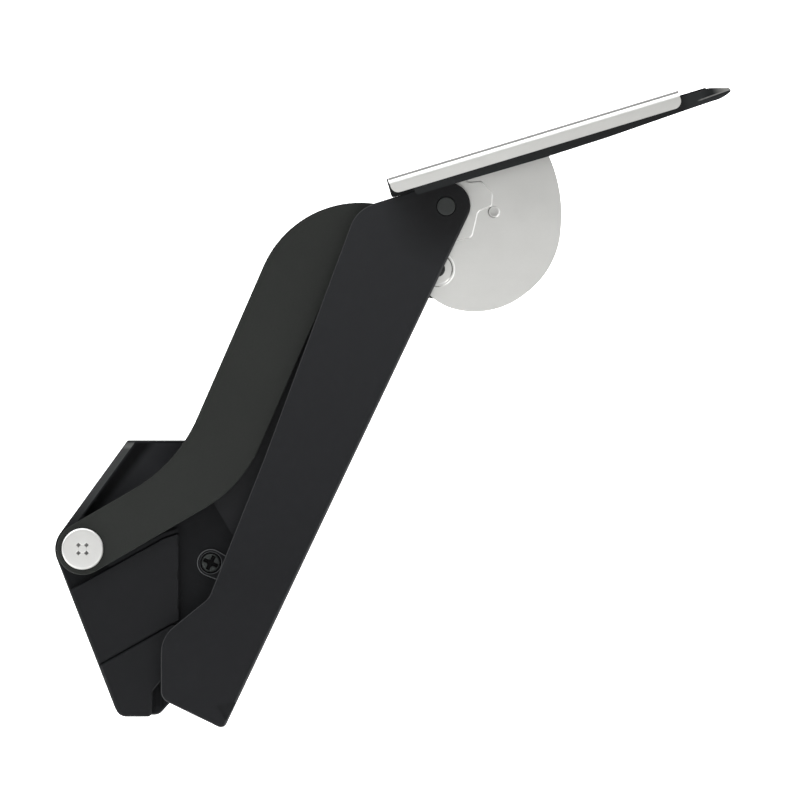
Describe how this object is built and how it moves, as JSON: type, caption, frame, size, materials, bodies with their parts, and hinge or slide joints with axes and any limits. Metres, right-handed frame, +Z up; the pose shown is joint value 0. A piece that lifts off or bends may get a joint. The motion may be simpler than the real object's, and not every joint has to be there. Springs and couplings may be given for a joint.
{
  "type": "lift-up flap fitting",
  "caption": "Spring-loaded lift-up flap fitting: slim black housing, two levers as a four-bar, flap bracket with disc and release latch, shown open.",
  "frame": {"origin": "on the side panel's face, on the axis of the rear lever's pivot", "axes": "+Y into the side panel, +X to the cabinet's front, +Z up; the fitting stands out along -Y; drawn with the flap open"},
  "size_m": [0.2534, 0.044, 0.2399],
  "materials": {
    "zinc_steel": "zinc plated, satin",
    "black_housing": "fine matt grain",
    "black_cover": "fine matt grain",
    "black_screw": "black oxide",
    "bright_steel": "polished nickel",
    "bush_plastic": "smooth",
    "rubber": "matt",
    "front_paint": "satin powder coat",
    "rear_paint": "matt powder coat",
    "pin_steel": "turned",
    "dark_pin": "dark zinc",
    "carriage_plastic": "glass filled",
    "spring_steel": "oiled",
    "damper_grey": "smooth",
    "bracket_steel": "nickel plated, satin",
    "latch_black": "fine matt grain"
  },
  "bodies": {
    "housing_body": {"mounting_plate": "zinc_steel", "housing": "black_housing", "spring_cover": "black_cover", "lower_cover": "black_cover", "housing_screw": "black_screw", "pivot_screw": "bright_steel", "shaft_bush": "bush_plastic", "stop_buffer": "rubber", "damper_body": "damper_grey", "springs": "spring_steel"},
    "carriage_body": {"carriage": "carriage_plastic", "spring_guides": "pin_steel", "damper_rod": "pin_steel"},
    "seat_body": {"spring_seat": "carriage_plastic"},
    "tension_body": {"tension_screw": "zinc_steel"},
    "front_body": {"front_lever": "front_paint", "lever_shaft": "pin_steel", "shaft_ring": "spring_steel", "crank_pin": "pin_steel", "top_rivet": "dark_pin", "rivet_sleeve": "pin_steel"},
    "roller_body": {"crank_roller": "pin_steel"},
    "rear_body": {"rear_lever": "rear_paint", "rear_bush": "bush_plastic"},
    "bracket_body": {"flap_bracket": "bracket_steel", "disc_bush": "bush_plastic", "link_pin": "dark_pin", "link_washer": "zinc_steel", "flap_plate": "latch_black", "plate_screws": "zinc_steel", "release_pin": "pin_steel", "release_spring": "spring_steel"},
    "release_body": {"release_lever": "latch_black"}
  },
  "joints": [
    {"name": "front_lever_hinge", "type": "hinge", "parent": "housing_body", "child": "front_body", "pos_m": [0.0675, -0.009, 0.026], "axis": [0, 1, 0], "range_deg": [0, 63.98], "stiffness_Nm_per_rad": 5.6, "springref_deg": -35.52},
    {"name": "rear_lever_hinge", "type": "hinge", "parent": "housing_body", "child": "rear_body", "pos_m": [0, -0.0201, 0], "axis": [0, 1, 0], "range_deg": [0, 31.81]},
    {"name": "bracket_hinge", "type": "hinge", "parent": "front_body", "child": "bracket_body", "pos_m": [0.1364, -0.0231, 0.12855], "axis": [0, 1, 0], "range_deg": [0, 42.83]},
    {"name": "carriage_slide", "type": "slide", "parent": "housing_body", "child": "carriage_body", "axis": [-0.8712, 0, -0.4909], "range_m": [0, 0.01803], "deforming": ["springs"]},
    {"name": "roller_spin", "type": "hinge", "parent": "front_body", "child": "roller_body", "pos_m": [0.08243, -0.0082, 0.01786], "axis": [0, 1, 0], "continuous": true},
    {"name": "tension_turn", "type": "hinge", "parent": "housing_body", "child": "tension_body", "pos_m": [0.00939, -0.0072, -0.02568], "axis": [0.8712, 0, 0.4909], "range_deg": [0, 2881]},
    {"name": "seat_slide", "type": "slide", "parent": "housing_body", "child": "seat_body", "axis": [0.8712, 0, 0.4909], "range_m": [0, 0.008]},
    {"name": "release_hinge", "type": "hinge", "parent": "bracket_body", "child": "release_body", "pos_m": [0.12814, -0.039, 0.13723], "axis": [0, 1, 0], "range_deg": [0, 5], "stiffness_Nm_per_rad": 0.1, "springref_deg": -20.05}
  ],
  "couplings": [
    {"joint": "rear_lever_hinge", "follows": "front_lever_hinge", "ratio": 0.49705},
    {"joint": "bracket_hinge", "follows": "front_lever_hinge", "ratio": 0.66927},
    {"joint": "carriage_slide", "follows": "front_lever_hinge", "m_per_rad": 0.016135},
    {"joint": "tension_turn", "follows": "seat_slide", "rad_per_m": 6283.2}
  ]
}
